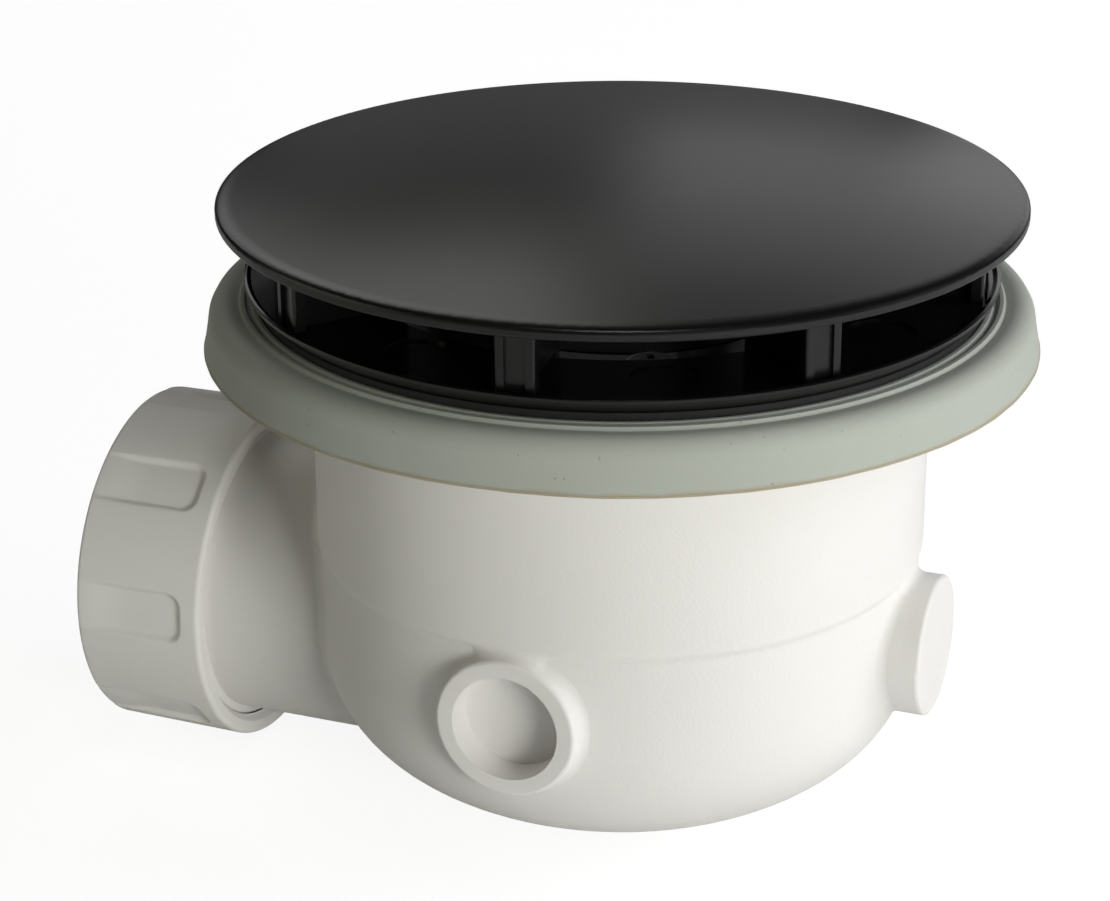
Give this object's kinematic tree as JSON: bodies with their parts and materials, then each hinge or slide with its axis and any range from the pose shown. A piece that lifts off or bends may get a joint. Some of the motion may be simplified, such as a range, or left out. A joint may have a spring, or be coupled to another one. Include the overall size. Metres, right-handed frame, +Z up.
{
  "type": "shower trap",
  "caption": "Shower waste trap: domed black cover over a dished flange, grey-green tray gasket, cream trap body with a low side outlet and union nut, lift-out dip tube and seal cup inside.",
  "frame": {"origin": "on the vertical drain axis, in the plane where the upper washer meets the gasket's ribs, which is where a shower tray is clamped", "axes": "+Z up along the drain axis; +X the way the waste water leaves, along the outlet; +Y towards the boss with the blind socket"},
  "size_m": [0.1384, 0.12, 0.0998],
  "materials": {
    "gloss_black": "smooth semi-gloss black moulding",
    "washer_black": "plain black rubber",
    "seal_black": "plain black rubber",
    "sage_rubber": "grey-green rubber with fine specks",
    "cream_plastic": "fine-grained cream moulding",
    "tube_black": "smooth black moulding",
    "cup_plastic": "smooth cream moulding",
    "screw_steel": "plain stainless steel",
    "insert_brass": "turned brass",
    "slip_plastic": "plain white plastic"
  },
  "bodies": {
    "root": {"drain_cover": "gloss_black", "waste_flange": "gloss_black", "upper_washer": "washer_black", "flange_screws": "screw_steel", "tray_gasket": "sage_rubber", "trap_body": "cream_plastic", "screw_inserts": "insert_brass", "seal_cup": "cup_plastic", "dip_tube": "tube_black", "dip_tube_seal": "seal_black", "outlet_nut": "cream_plastic", "slip_ring": "slip_plastic", "outlet_seal": "seal_black"}
  },
  "joints": []
}
